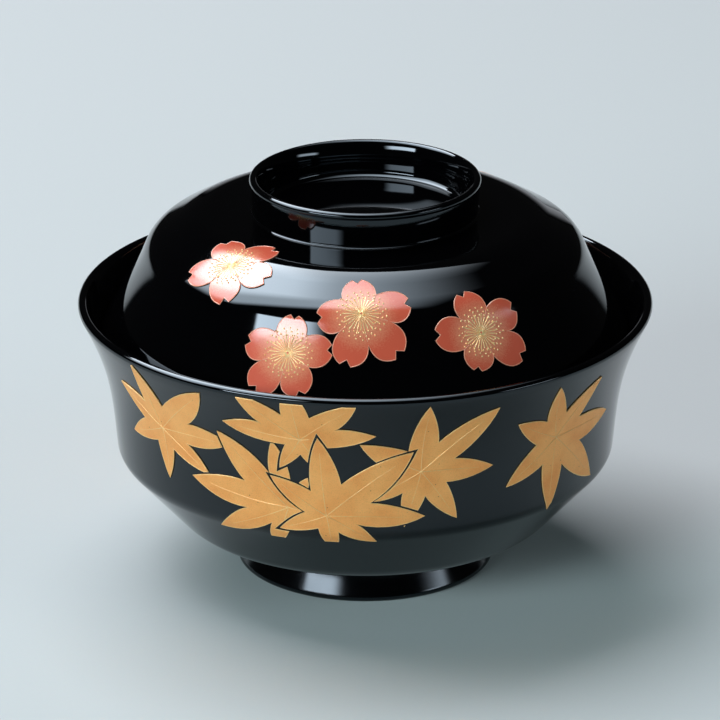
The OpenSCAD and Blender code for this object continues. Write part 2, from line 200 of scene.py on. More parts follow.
class Finishes(bpy.types.PropertyGroup):
    """Colours of the lacquers and of the stage."""

    black: colour("Black lacquer", "Polished black of the bowl and lid", "020203")
    sheen: colour("Sheen", "Cool tint of the black lacquer's reflections", "E2F4FF")
    gold: colour("Gold", "Gold powder of the leaves", "FFB86C")
    gold_shade: colour("Gold shade", "Where the gold powder lies thinner", "F6A55A")
    gold_line: colour("Gold line", "Denser gold of the outlines and veins", "F3CF91")
    red: colour("Red", "Red lacquer at the petals' tips", "DA6049")
    red_pale: colour("Pale red", "Red dusted with gold near a blossom's middle", "EC9A78")
    petal_line: colour("Petal line", "Outline of the petals", "E39C84")
    pale_gold: colour("Pale gold", "Filaments and anthers", "F4DCA4")
    floor: colour("Floor", "Matt sheet that the bowl stands on", "D5DCE2")


class StageSizes(bpy.types.PropertyGroup):
    """The camera and the studio round the bowl."""

    camera_distance: length("Camera distance", "Distance of the camera in front of the axis", 1000)
    camera_height: length("Camera height", "Height of the camera above the table", 435.457)
    camera_pitch: angle("Camera pitch", "How far the camera looks down", 21.377)
    lens: bpy.props.FloatProperty(
        name="Lens", description="Focal length of the camera on a 36 mm sensor", default=253.5,
        unit="CAMERA", min=1)
    shift: share("Shift", "Sideways shift of the frame, as a share of its width", -0.00722)
    floor_size: length("Floor", "Width and depth of the floor", 9000)


GROUPS = {"bowl_sizes": BowlSizes, "lid_sizes": LidSizes, "decor_sizes": DecorSizes, "finishes": Finishes,
          "stage_sizes": StageSizes}


# Outlines, as points that are (distance from the axis, height), or plain flat points

def lean(lean_angle):
    """The direction that goes up and outward, leaning from upright."""
    return Vector((math.sin(lean_angle), math.cos(lean_angle)))


def polar(turn, reach):
    """The flat point at a direction in radians and a distance."""
    return Vector((math.cos(turn), math.sin(turn))) * reach


def on_ray(degrees, along, aside=0):
    """The flat point that lies along a direction, and aside of it."""
    turn = math.radians(degrees)
    return polar(turn, along) + polar(turn + math.pi / 2, aside)


class Outline:
    """A line drawn through points with handles, with a number of steps for each run."""

    SWEEP, CORNER, ARC = 18, 8, 6
    # Where a straight run gets points, so that its ends stay straight next to a rounded corner
    RUN_SHARES = (0.04, 0.5, 0.96)

    def __init__(self, start):
        self.end = start
        self.points = [start]

    def bend(self, leaving, arriving, end, steps):
        """Draws a curve with a handle for each end."""
        self.points += interpolate_bezier(self.end, leaving, arriving, end, steps + 1)[1:]
        self.end = end

    def run(self, end):
        """Draws a straight line."""
        self.points += [self.end.lerp(end, s) for s in self.RUN_SHARES] + [end]
        self.end = end

    def sweep(self, direction, part, end, end_direction, end_part):
        """Draws a long easy curve, with a direction and a share of the chord for each end."""
        chord = (end - self.end).length
        self.bend(self.end + part * chord * direction, end - end_part * chord * end_direction, end, self.SWEEP)

    def corner(self, tip, after, reach):
        """Draws a line to near a corner and a soft turn round it, on the way to the point after."""
        start = tip + reach * (self.end - tip).normalized()
        end = tip + reach * (after - tip).normalized()
        if (start - self.end).length > reach / 10:
            self.run(start)
        self.bend(start.lerp(tip, 2 / 3), end.lerp(tip, 2 / 3), end, self.CORNER)

    def arc(self, middle, r, start, end):
        """Draws a line to an arc's start, and the arc, in parts of a quarter turn at most."""
        first = middle + polar(start, r)
        if (first - self.end).length > r / 20:
            self.run(first)
        self.end = first
        parts = math.ceil(abs(end - start) / (math.pi / 2) - 0.01)
        part = (end - start) / parts
        handle = 4 / 3 * math.tan(part / 4) * r
        for i in range(parts):
            a, b = start + i * part, start + (i + 1) * part
            self.bend(middle + polar(a, r) + polar(a + math.pi / 2, handle),
                      middle + polar(b, r) - polar(b + math.pi / 2, handle), middle + polar(b, r), self.ARC)


def set_in(before, tip, after, depth):
    """The corner of a path moved by a depth to the right of its direction."""
    first, second = (tip - before).normalized(), (after - tip).normalized()
    sides = Vector((first.y, -first.x)) + Vector((second.y, -second.x))
    return tip + depth * sides / (1 + first.dot(second))


class Surface:
    """The outside of a turned shape, read from its outline."""

    def __init__(self, outline):
        self.rising = sorted(outline, key=lambda p: p.y)
        self.heights = [p.y for p in self.rising]

    def at_height(self, h):
        """The distance from the axis at a height, and the outward direction there as (out, up)."""
        i = min(max(bisect_left(self.heights, h), 1), len(self.heights) - 1)
        low, high = self.rising[i - 1], self.rising[i]
        part = (h - low.y) / (high.y - low.y)
        along = (high - low).normalized()
        return low.x + part * (high.x - low.x), Vector((along.y, -along.x))


# Values that several pieces share

def wall_outline(b):
    """The outside of the bowl from the lip down to the foot ring's edge, and the middle of the lip's bead."""
    lip_r = b.lip_t / 2
    middle = Vector((b.rim_d / 2 - lip_r, b.rim_h - lip_r))
    waist = Vector((b.waist_d / 2, b.waist_h))
    belly = Vector((b.belly_d / 2, b.belly_h))
    edge_middle = Vector((b.foot_d / 2 - b.foot_edge_r, b.foot_edge_r))
    edge_top = edge_middle + polar(b.foot_angle, b.foot_edge_r)
    root = edge_top + (b.foot_h - edge_top.y) * Vector((-math.tan(b.foot_angle), 1))
    wall = Outline(middle + polar(-b.flare_angle, lip_r))
    wall.sweep(-lean(b.flare_angle), 0.44, waist + b.waist_soft * lean(b.waist_angle), -lean(b.waist_angle), 0.38)
    under = Outline(wall.end)
    under.corner(waist, belly, b.waist_soft)
    under.corner(belly, root, b.belly_soft)
    under.corner(root, edge_top, b.root_soft)
    return middle, wall, under, edge_middle


def inner_wall_outline(b, wall):
    """The inside of the bowl from the lip down to where it turns in to the floor."""
    lip_r = b.lip_t / 2
    middle = Vector((b.rim_d / 2 - lip_r, b.rim_h - lip_r))
    turn = Vector((Surface(wall.points).at_height(b.turn_h)[0] - b.wall_t, b.turn_h))
    inner = Outline(middle + polar(math.pi - b.flare_angle, lip_r))
    inner.sweep(-lean(b.flare_angle), 0.44, turn, -lean(b.waist_angle), 0.38)
    return inner


def ring_outline(l):
    """The grip ring's bead as (middle, radius, angle where it meets the wall), and the middle of its root."""
    bead_r = l.ring_lip_t / 2
    bead = Vector((l.ring_d / 2 - bead_r, l.top_h + l.ring_h - bead_r))
    tuck_angle = math.acos((bead_r - l.ring_overhang) / bead_r)
    tuck = bead + polar(-tuck_angle, bead_r)
    root_h = l.top_h + l.ring_fillet
    root_r = tuck.x - (tuck.y - root_h) * math.tan(l.ring_angle) + l.ring_fillet / math.cos(l.ring_angle)
    return bead, bead_r, tuck_angle, Vector((root_r, root_h))


def lid_outline(b, l):
    """The outside of the lid from the grip ring's root to the edge, with the points that shape it."""
    inner = inner_wall_outline(b, wall_outline(b)[1])
    seat_h = b.rim_h - l.seat_depth
    wall_r, out = Surface(inner.points).at_height(seat_h)
    edge_middle = Vector((wall_r - (l.edge_t / 2 + l.seat_gap) / out.x, seat_h))
    edge = edge_middle + polar(l.skirt_edge_angle, l.edge_t / 2)
    start = Vector((ring_outline(l)[3].x, l.top_h))
    crown = Vector((l.crown_d / 2, l.top_h - math.tan(l.top_angle) * (l.crown_d / 2 - start.x)))
    shoulder = Vector((l.shoulder_d / 2, l.shoulder_h))
    down_top = Vector((math.sin(l.skirt_top_angle), -math.cos(l.skirt_top_angle)))
    down_edge = Vector((math.sin(l.skirt_edge_angle), -math.cos(l.skirt_edge_angle)))
    outside = Outline(start)
    outside.corner(crown, shoulder, l.crown_soft)
    outside.corner(shoulder, shoulder + down_top, l.shoulder_soft)
    outside.sweep(down_top, 0.3, edge, down_edge, 0.4)
    return outside, crown, shoulder, down_top, down_edge, edge_middle


# Making and finishing meshes

def finished(name, bm, body, materials, replaces=()):
    """Makes an object of a mesh, rides it on its body and hides the CAD parts that it replaces."""
    bmesh.ops.remove_doubles(bm, verts=bm.verts, dist=0.0005 * MM)
    mesh = bpy.data.meshes.new(name)
    bm.to_mesh(mesh)
    bm.free()
    piece = bpy.data.objects.new(name, mesh)
    bpy.context.scene.collection.objects.link(piece)
    for material in materials:
        mesh.materials.append(material)
    mesh.polygons.foreach_set("use_smooth", [True] * len(mesh.polygons))
    mesh.set_sharp_from_angle(angle=math.radians(40))
    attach(piece, body)
    if replaces:
        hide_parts(*replaces)
    return piece


def add_mesh(whole, part):
    """Adds a part to a mesh, and frees the part."""
    mesh = bpy.data.meshes.new("part")
    part.to_mesh(mesh)
    part.free()
    whole.from_mesh(mesh)
    bpy.data.meshes.remove(mesh)


def turned(outline):
    """Spins a half outline about Z into a closed shell."""
    bm = bmesh.new()
    verts = [bm.verts.new((p.x, 0, p.y)) for p in outline]
    edges = [bm.edges.new(pair) for pair in zip(verts, verts[1:])]
    bmesh.ops.spin(bm, geom=verts + edges, cent=(0, 0, 0), axis=(0, 0, 1), angle=TURN, steps=192, use_merge=True)
    bmesh.ops.remove_doubles(bm, verts=bm.verts, dist=0.0005 * MM)
    bmesh.ops.recalc_face_normals(bm, faces=bm.faces)
    return bm


def flat_block(outline, low, high):
    """A flat block with an outline, from one level to another."""
    bm = bmesh.new()
    face = bm.faces.new([bm.verts.new((p.x, p.y, low)) for p in outline])
    raised = bmesh.ops.extrude_face_region(bm, geom=[face])["geom"]
    bmesh.ops.translate(bm, vec=(0, 0, high - low), verts=[g for g in raised if isinstance(g, bmesh.types.BMVert)])
    bmesh.ops.recalc_face_normals(bm, faces=bm.faces)
    return bm


def slice_up(bm, steps):
    """Cuts a flat block across, at even steps for each axis, so that it can follow a curved surface."""
    bmesh.ops.triangulate(bm, faces=bm.faces)
    for axis, step in enumerate(steps):
        places = [v.co[axis] for v in bm.verts]
        normal = Vector((0, 0, 0))
        normal[axis] = 1
        for i in range(math.ceil(min(places) / step), math.floor(max(places) / step) + 1):
            bmesh.ops.bisect_plane(bm, geom=bm.verts[:] + bm.edges[:] + bm.faces[:], dist=0.001 * MM,
                                   plane_co=normal * i * step, plane_no=normal)


def with_cuts(bm, cuts):
    """Takes other flat blocks out of a block."""
    blocks = []
    for part in [bm] + cuts:
        mesh = bpy.data.meshes.new("block")
        part.to_mesh(mesh)
        part.free()
        block = bpy.data.objects.new("block", mesh)
        bpy.context.scene.collection.objects.link(block)
        blocks.append(block)
    for cutter in blocks[1:]:
        cut = blocks[0].modifiers.new("cut", "BOOLEAN")
        cut.operation = "DIFFERENCE"
        cut.solver = "EXACT"
        cut.object = cutter
    bpy.context.view_layer.update()
    graph = bpy.context.evaluated_depsgraph_get()
    result = bpy.data.meshes.new_from_object(blocks[0].evaluated_get(graph))
    whole = bmesh.new()
    whole.from_mesh(result)
    for block in blocks:
        bpy.data.meshes.remove(block.data)
    bpy.data.meshes.remove(result)
    return whole


def edge_loops(bm, level):
    """The outlines of a flat block's top, as lists of flat points in order."""
    top = {f for f in bm.faces if f.normal.z > 0.9 and abs(f.calc_center_median().z - level) < 0.01 * MM}
    left = {e for e in bm.edges if sum(f in top for f in e.link_faces) == 1}
    loops = []
    while left:
        edge = left.pop()
        vert, goal = edge.verts[1], edge.verts[0]
        loop = [edge.verts[0].co.xy, vert.co.xy]
        while vert != goal:
            following = [e for e in vert.link_edges if e in left]
            if not following:
                break
            edge = following[0]
            left.remove(edge)
            vert = edge.other_vert(vert)
            loop.append(vert.co.xy)
        loops.append(loop[:-1])
    return loops


def inside(point, outline):
    """Whether a flat point lies inside a closed outline."""
    crossings = 0
    for a, b in zip(outline, outline[1:] + outline[:1]):
        if (a.y > point.y) != (b.y > point.y):
            if point.x < a.x + (point.y - a.y) / (b.y - a.y) * (b.x - a.x):
                crossings += 1
    return crossings % 2 == 1


def drawn_lines(lines, r):
    """Thin raised lines: each is a list of (place, share of the radius) and whether it is closed."""
    curve = bpy.data.curves.new("lines", "CURVE")
    curve.dimensions = "3D"
    curve.bevel_depth = r
    curve.bevel_resolution = 1
    curve.use_fill_caps = True
    for points, closed in lines:
        spline = curve.splines.new("POLY")
        spline.points.add(len(points) - 1)
        spline.use_cyclic_u = closed
        for target, (place, width) in zip(spline.points, points):
            target.co = (*place, 1)
            target.radius = width
    holder = bpy.data.objects.new("lines", curve)
    mesh = bpy.data.meshes.new_from_object(holder)
    bm = bmesh.new()
    bm.from_mesh(mesh)
    bpy.data.curves.remove(curve)
    bpy.data.meshes.remove(mesh)
    bmesh.ops.remove_doubles(bm, verts=bm.verts, dist=0.0005 * MM)
    bmesh.ops.recalc_face_normals(bm, faces=bm.faces)
    return bm


# Materials

def add_node(tree, kind, inputs=None, **settings):
    """Adds a node with its settings. An input is a value, or a socket that it is linked to."""
    node = tree.nodes.new(kind)
    for key, value in settings.items():
        setattr(node, key, value)
    for key, value in (inputs or {}).items():
        if isinstance(value, bpy.types.NodeSocket):
            tree.links.new(value, node.inputs[key])
        else:
            node.inputs[key].default_value = value
    return node


def new_material(name):
    """An empty material, and its node tree."""
    material = bpy.data.materials.new(name)
    material.use_nodes = True
    material.node_tree.nodes.clear()
    return material, material.node_tree


def surface_of(tree, inputs):
    """Ends a material in one Principled shader."""
    shader = add_node(tree, "ShaderNodeBsdfPrincipled", inputs)
    add_node(tree, "ShaderNodeOutputMaterial", {"Surface": shader.outputs[0]})


def grain(tree, place, size, detail=2, **inputs):
    """Noise whose lumps have a real size."""
    settings = {"Vector": place, "Scale": 1 / size, "Detail": detail}
    settings.update(inputs)
    return add_node(tree, "ShaderNodeTexNoise", settings)


def ramp(tree, value, stops):
    """Turns a value into colours or levels, by stops that are (place, colour)."""
    node = add_node(tree, "ShaderNodeValToRGB", {"Fac": value})
    while len(node.color_ramp.elements) < len(stops):
        node.color_ramp.elements.new(0.5)
    for element, (place, stop) in zip(node.color_ramp.elements, stops):
        element.position = place
        element.color = stop
    return node.outputs["Color"]


def grey(level):
    return (level, level, level, 1)


def soft_step(tree, value, start, end):
    """A smooth rise from 0 to 1, from the value at start to the one at end."""
    return add_node(tree, "ShaderNodeMapRange", {"Value": value, "From Min": start, "From Max": end},
                    interpolation_type="SMOOTHSTEP").outputs["Result"]


def product(tree, level, *factors):
    """A level times each of the factors."""
    for factor in factors:
        level = add_node(tree, "ShaderNodeMath", {0: level, 1: factor}, operation="MULTIPLY").outputs[0]
    return level


def black_urushi(finishes):
    """Roiro urushi, black lacquer rubbed to a mirror over turned wood: deep black, with reflections whose
    edges waver a little where the brushed coats aren't quite even, and a haze of fine polish."""
    material, tree = new_material("polished_black_urushi")
    place = add_node(tree, "ShaderNodeTexCoord").outputs["Object"]
    coats = grain(tree, place, 9 * MM, 1)
    haze = grain(tree, place, 2.5 * MM, 3)
    wave = add_node(tree, "ShaderNodeBump", {"Strength": 0.5, "Distance": 0.004 * MM, "Height": coats.outputs["Fac"]})
    polish = add_node(tree, "ShaderNodeMapRange", {"Value": haze.outputs["Fac"], "To Min": 0.03, "To Max": 0.055})
    # The foot ring is brushed last and isn't rubbed, so its reflections are softer
    height = add_node(tree, "ShaderNodeSeparateXYZ", {0: place}).outputs["Z"]
    unrubbed = soft_step(tree, height, 8.5 * MM, 7 * MM)
    rough = add_node(tree, "ShaderNodeMath", {0: unrubbed, 1: 0.1, 2: polish.outputs["Result"]},
                     operation="MULTIPLY_ADD")
    surface_of(tree, {
        "Base Color": finishes.black, "Roughness": rough.outputs[0], "IOR": 1.5, "Specular Tint": finishes.sheen,
        "Normal": wave.outputs["Normal"]})
    return material


def gold_makie(finishes):
    """Hiramaki-e, gold powder strewn on raised lacquer and rubbed: a satin metal that is never quite even,
    with powder grains that catch the light and thinner spots where the lacquer shows through."""
    material, tree = new_material("gold_powder_on_lacquer")
    place = add_node(tree, "ShaderNodeTexCoord").outputs["Object"]
    # The real powder is some 0.03 mm, too fine to show, so it is drawn as coarse as 0.22 mm
    powder = grain(tree, place, 0.22 * MM, 2)
    cloud = grain(tree, place, 6 * MM, 2)
    even = ramp(tree, cloud.outputs["Fac"], ((0.3, finishes.gold_shade), (0.62, finishes.gold)))
    sparkle = ramp(tree, powder.outputs["Fac"], ((0.3, grey(0.86)), (0.5, grey(0.98)), (0.72, grey(1))))
    tinted = add_node(tree, "ShaderNodeMix", {"Factor": 1, 6: even, 7: sparkle}, data_type="RGBA",
                      blend_type="MULTIPLY")
    bare = add_node(tree, "ShaderNodeTexVoronoi", {"Vector": place, "Scale": 1 / (2.6 * MM)})
    dot = ramp(tree, bare.outputs["Distance"], ((0.035, grey(0.45)), (0.06, grey(1))))
    spotted = add_node(tree, "ShaderNodeMix", {"Factor": 1, 6: tinted.outputs[2], 7: dot}, data_type="RGBA",
                       blend_type="MULTIPLY")
    rough = add_node(tree, "ShaderNodeMapRange", {"Value": powder.outputs["Fac"], "To Min": 0.42, "To Max": 0.6})
    relief = add_node(tree, "ShaderNodeBump", {
        "Strength": 0.5, "Distance": 0.01 * MM, "Height": powder.outputs["Fac"]})
    surface_of(tree, {
        "Base Color": spotted.outputs[2], "Metallic": 0.45, "Roughness": rough.outputs["Result"],
        "Normal": relief.outputs["Normal"]})
    return material


def gold_line(finishes):
    """Tsukegaki, brushed lines of lacquer strewn densely with gold: brighter and smoother than the leaf."""
    material, tree = new_material("gold_brushed_line")
    place = add_node(tree, "ShaderNodeTexCoord").outputs["Object"]
    powder = grain(tree, place, 0.3 * MM, 2)
    tint = ramp(tree, powder.outputs["Fac"], ((0.3, finishes.gold), (0.6, finishes.gold_line)))
    surface_of(tree, {"Base Color": tint, "Metallic": 0.35, "Roughness": 0.4})
    return material


def red_petal(finishes):
    """Red lacquer, dusted with gold toward the middle and rubbed: red at the tips, paler and warmer inward,
    with a semi-gloss that pales the petals wherever a lamp is mirrored."""
    material, tree = new_material("red_lacquer_dusted")
    place = add_node(tree, "ShaderNodeTexCoord").outputs["Object"]
    outward = add_node(tree, "ShaderNodeAttribute", attribute_name="petal_share")
    powder = grain(tree, place, 0.25 * MM, 2)
    strewn = add_node(tree, "ShaderNodeMath", {0: powder.outputs["Fac"], 1: 0.5, 2: outward.outputs["Fac"]},
                      operation="MULTIPLY_ADD")
    tint = ramp(tree, strewn.outputs[0], (
        (0.25, finishes.red), (0.32, finishes.red_pale), (0.55, finishes.red_pale), (1, finishes.red)))
    rough = add_node(tree, "ShaderNodeMapRange", {"Value": powder.outputs["Fac"], "To Min": 0.12, "To Max": 0.2})
    surface_of(tree, {"Base Color": tint, "Roughness": rough.outputs["Result"], "IOR": 1.6})
    return material


def petal_line(finishes):
    """Brushed line of pale lacquer round each petal, dusted while wet: soft and slightly satin."""
    material, tree = new_material("petal_brushed_line")
    place = add_node(tree, "ShaderNodeTexCoord").outputs["Object"]
    powder = grain(tree, place, 0.4 * MM, 2)
    tint = ramp(tree, powder.outputs["Fac"], ((0.3, finishes.red_pale), (0.65, finishes.petal_line)))
    surface_of(tree, {"Base Color": tint, "Roughness": 0.35, "IOR": 1.6})
    return material


def pale_gold_line(finishes):
    """Raised threads and dots of lacquer strewn with pale gold: small domes that glint on their tops."""
    material, tree = new_material("pale_gold_brushed_line")
    place = add_node(tree, "ShaderNodeTexCoord").outputs["Object"]
    powder = grain(tree, place, 0.3 * MM, 2)
    tint = ramp(tree, powder.outputs["Fac"], ((0.3, finishes.gold), (0.55, finishes.pale_gold)))
    surface_of(tree, {"Base Color": tint, "Metallic": 0.3, "Roughness": 0.38})
    return material


def floor_sheet(finishes):
    """A matt coated paper sheet, as studios roll out under tableware: even, with a faint tooth."""
    material, tree = new_material("matt_paper_sheet")
    place = add_node(tree, "ShaderNodeTexCoord").outputs["Object"]
    tooth = grain(tree, place, 0.8 * MM, 3)
    tint = add_node(tree, "ShaderNodeMix", {"Factor": 0.04, 6: finishes.floor, 7: tooth.outputs["Color"]},
                    data_type="RGBA", blend_type="OVERLAY")
    surface_of(tree, {"Base Color": tint.outputs[2], "Roughness": 0.6, "Specular IOR Level": 0})
    return material


# Operators, one for each piece or group of like pieces

class TurnBowl(bpy.types.Operator):
    """Turns the bowl with its foot ring"""

    bl_idname = "soup_bowl.turn_bowl"
    bl_label = "Turn the bowl"

    def execute(self, context):
        b = context.scene.bowl_sizes
        middle, wall, under, edge_middle = wall_outline(b)
        inner = inner_wall_outline(b, wall)
        turn = inner.end
        sole_h = b.foot_recess + b.floor_t
        line = Outline(inner.points[0])
        line.arc(middle, b.lip_t / 2, math.pi - b.flare_angle, -b.flare_angle)
        points = inner.points[::-1] + line.points[1:] + wall.points[1:] + under.points[1:]
        ground = Outline(under.end)
        ground.arc(edge_middle, b.foot_edge_r, b.foot_angle, -math.pi / 2)
        mouth = Vector((b.foot_d / 2 - b.foot_t + b.foot_inner_edge_r, b.foot_inner_edge_r))
        ground.arc(mouth, b.foot_inner_edge_r, -math.pi / 2, b.foot_angle - math.pi)
        recess_top = b.foot_recess - b.recess_r
        recess_r = (mouth.x - (b.foot_inner_edge_r + b.recess_r) / math.cos(b.foot_angle)
                    - (recess_top - mouth.y) * math.tan(b.foot_angle))
        ground.arc(Vector((recess_r, recess_top)), b.recess_r, b.foot_angle, math.pi / 2)
        ground.run(Vector((0, b.foot_recess)))
        sole = Outline(turn)
        sole.bend(turn - 0.43 * (b.turn_h - sole_h) * lean(b.waist_angle), Vector((0.76 * turn.x, sole_h)),
                  Vector((0, sole_h)), Outline.SWEEP)
        points = sole.points[::-1] + points[1:] + ground.points[1:]
        finished("bowl_shell", turned(points), "bowl_body",
                 [black_urushi(context.scene.finishes)], ["bowl"])
        return {"FINISHED"}


class TurnLid(bpy.types.Operator):
    """Turns the lid with its grip ring"""

    bl_idname = "soup_bowl.turn_lid"
    bl_label = "Turn the lid"

    def execute(self, context):
        b, l = context.scene.bowl_sizes, context.scene.lid_sizes
        outside, crown, shoulder, down_top, down_edge, edge_middle = lid_outline(b, l)
        bead, bead_r, tuck_angle, root = ring_outline(l)
        flare = math.pi - l.bore_flare
        flare_middle = bead - polar(flare, l.bore_flare_r - bead_r)
        bore = flare_middle.x - l.bore_flare_r
        line = Outline(Vector((0, l.top_h)))
        line.arc(Vector((bore - l.bore_r, l.top_h + l.bore_r)), l.bore_r, -math.pi / 2, 0)
        line.arc(flare_middle, l.bore_flare_r, math.pi, flare)
        line.arc(bead, bead_r, flare, -tuck_angle)
        line.arc(root, l.ring_fillet, math.pi - l.ring_angle, 1.5 * math.pi)
        rest = Outline(outside.end)
        rest.arc(edge_middle, l.edge_t / 2, l.skirt_edge_angle, l.skirt_edge_angle - math.pi)
        start = outside.points[0]
        inner_crown = set_in(start, crown, shoulder, l.lid_t)
        inner_shoulder = set_in(crown, shoulder, shoulder + down_top, l.lid_t)
        rest.sweep(-down_edge, 0.4, inner_shoulder + l.shoulder_soft * down_top, -down_top, 0.3)
        rest.corner(inner_shoulder, inner_crown, l.shoulder_soft)
        ceiling = Vector((start.x, l.top_h - l.lid_t))
        rest.corner(inner_crown, ceiling, l.crown_soft)
        rest.run(Vector((0, l.top_h - l.lid_t)))
        points = line.points + outside.points[1:] + rest.points[1:]
        finished("lid_shell", turned(points), "lid_body",
                 [black_urushi(context.scene.finishes)], ["lid"])
        return {"FINISHED"}


def leaf_outline(lobes, reach, grow, steps):
    """The outline of a maple leaf: lobes with bulging sides, joined at notches."""
    points = []
    for i, (turn, part) in enumerate(lobes):
        before, after = lobes[i - 1], lobes[(i + 1) % len(lobes)]
        tip = part * reach
        ends = []
        for (other_turn, other), way in ((before, -1), (after, 1)):
            gap = (way * (other_turn - turn)) % 360
            notch = (0.62 - 0.0035 * min(gap, 90)) * min(other, part) * reach + grow
            ends.append(on_ray(turn + way * gap / 2, notch))
        for way in (-1, 1):
            bulge = on_ray(turn, 0.7 * tip, way * (0.165 * tip + grow))
            point = on_ray(turn, tip + 2 * grow)
            start, end = (ends[0], point) if way < 0 else (point, ends[1])
            points += interpolate_bezier(start, start.lerp(bulge, 2 / 3), end.lerp(bulge, 2 / 3), end, steps + 1)[1:]
    return points


class RaiseLeaves(bpy.types.Operator):
    """Lays the gold maple leaves round the wall, with their outlines and veins"""

    bl_idname = "soup_bowl.raise_leaves"
    bl_label = "Raise the leaves"

    def execute(self, context):
        b, d = context.scene.bowl_sizes, context.scene.decor_sizes
        _, wall, under, _ = wall_outline(b)
        surface = Surface(wall.points + under.points[1:9])

        def on_wall(leaf, flat, lift):
            """The place on the wall that a leaf's flat point wraps to."""
            h = leaf[1] * b.rim_h + flat.y
            r, out = surface.at_height(h)
            turn = math.radians(leaf[0]) + math.asin(flat.x / r)
            r += lift * out.x
            return Vector((r * math.sin(turn), -r * math.cos(turn), h + lift * out.y))

        def as_seen(leaf, other, flat):
            """Where a flat point of another leaf lies in this leaf's own plane."""
            place = on_wall(other, flat, 0)
            turn = math.radians(leaf[0])
            return Vector((place.x * math.cos(turn) + place.y * math.sin(turn), place.z - leaf[1] * b.rim_h))

        clear = d.leaf_gap + 2 * d.line_r
        whole, lines = bmesh.new(), []
        for i, leaf in enumerate(LEAVES):
            upper = [o for o in LEAVES[i + 1:] if abs(o[0] - leaf[0]) < 50]
            covers = [[as_seen(leaf, o, p) for p in leaf_outline(o[2], d.leaf_reach, clear, 7)] for o in upper]
            middle_h = leaf[1] * b.rim_h
            wide = 2 * d.leaf_reach
            beyond = [[Vector((x, y)) for x, y in ((-wide, low), (wide, low), (wide, high), (-wide, high))]
                      for low, high in ((b.rim_h - d.band_top - middle_h, wide), (-wide, d.band_low - middle_h))]
            bm = with_cuts(flat_block(leaf_outline(leaf[2], d.leaf_reach, 0, 7), -d.film_bite, d.film_t),
                           [flat_block(c, -3 * d.film_t, 3 * d.film_t) for c in covers + beyond])
            lines += [([(on_wall(leaf, p, d.film_t - d.line_r / 2), 1) for p in loop], True)
                      for loop in edge_loops(bm, d.film_t)]
            slice_up(bm, (1.5 * MM, 3 * MM))
            for vert in bm.verts:
                vert.co = on_wall(leaf, vert.co.xy, vert.co.z)
            add_mesh(whole, bm)
            for turn, part in leaf[2]:
                vein = []
                for step in range(13):
                    s = step / 12
                    along = 0.8 * part * d.leaf_reach * s
                    point = on_ray(turn, along, 0.012 * part * d.leaf_reach * math.sin(math.pi * s))
                    h = middle_h + point.y
                    if any(inside(point, c) for c in covers) or not d.band_low < h < b.rim_h - d.band_top:
                        break
                    vein.append((on_wall(leaf, point, d.film_t), 0.9 - 0.6 * s))
                if len(vein) > 2:
                    lines.append((vein, False))
        finishes = context.scene.finishes
        finished("gold_leaves", whole, "bowl_body", [gold_makie(finishes)], ["maple_leaves"])
        finished("leaf_lines", drawn_lines(lines, d.line_r), "bowl_body", [gold_line(finishes)])
        return {"FINISHED"}


def blossom_outline(petals, reach, steps):
    """The outline of a cherry blossom: five petals with a notched tip."""
    points = []
    for i, (turn, part) in enumerate(petals):
        before, after = petals[i - 1], petals[(i + 1) % len(petals)]
        tip = part * reach
        for (other_turn, other), way in ((before, -1), (after, 1)):
            half = ((way * (other_turn - turn)) % 360) / 2
            valley = on_ray(turn + way * half, 0.57 * (part + other) / 2 * reach)
            bulge = on_ray(turn, 0.84 * tip, way * 0.45 * tip)
            point = on_ray(turn + way * 6.5, tip)
            start, end = (valley, point) if way < 0 else (point, valley)
            side = interpolate_bezier(start, start.lerp(bulge, 2 / 3), end.lerp(bulge, 2 / 3), end, steps + 1)
            if way > 0:
                points += [on_ray(turn, 0.885 * tip), start]
            points += side[1:]
    return points


